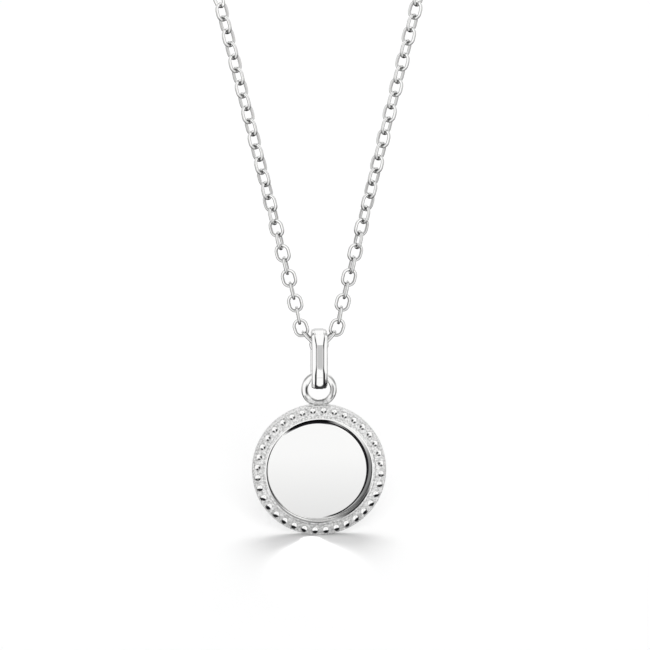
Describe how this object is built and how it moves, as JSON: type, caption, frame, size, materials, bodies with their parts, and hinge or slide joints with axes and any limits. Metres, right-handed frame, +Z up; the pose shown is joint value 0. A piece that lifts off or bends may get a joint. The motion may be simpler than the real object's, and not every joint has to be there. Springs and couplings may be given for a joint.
{
  "type": "disc pendant necklace",
  "caption": "Silver necklace with a round disc pendant: beaded frosted rim, polished plate, top ring, bevelled bail and a looped cable chain.",
  "frame": {"origin": "Nape: middle of the clasp ring, at the top of the necklace's loop, from which it hangs.", "axes": "+Z up. The loop and the disc lie in the XZ plane, +X is to the wearer's left, and the disc's face looks along -Y."},
  "size_m": [0.0728, 0.0042, 0.2035],
  "materials": {
    "polished_silver": "mirror-polished silver",
    "frosted_silver": "frosted silver"
  },
  "bodies": {
    "necklace": {"clasp": "polished_silver", "chain_left": "polished_silver", "chain_right": "polished_silver"},
    "bail": {"bail": "polished_silver"},
    "pendant": {"disc_frame": "frosted_silver", "face_plate": "polished_silver"}
  },
  "joints": [
    {"name": "bail_swing", "type": "hinge", "parent": "necklace", "child": "bail", "pos_m": [0, 0, -0.17577], "axis": [1, 0, 0], "range_deg": [-90, 90]},
    {"name": "pendant_swing", "type": "hinge", "parent": "bail", "child": "pendant", "pos_m": [0, 0, -0.17979], "axis": [1, 0, 0], "range_deg": [-90, 90]}
  ]
}
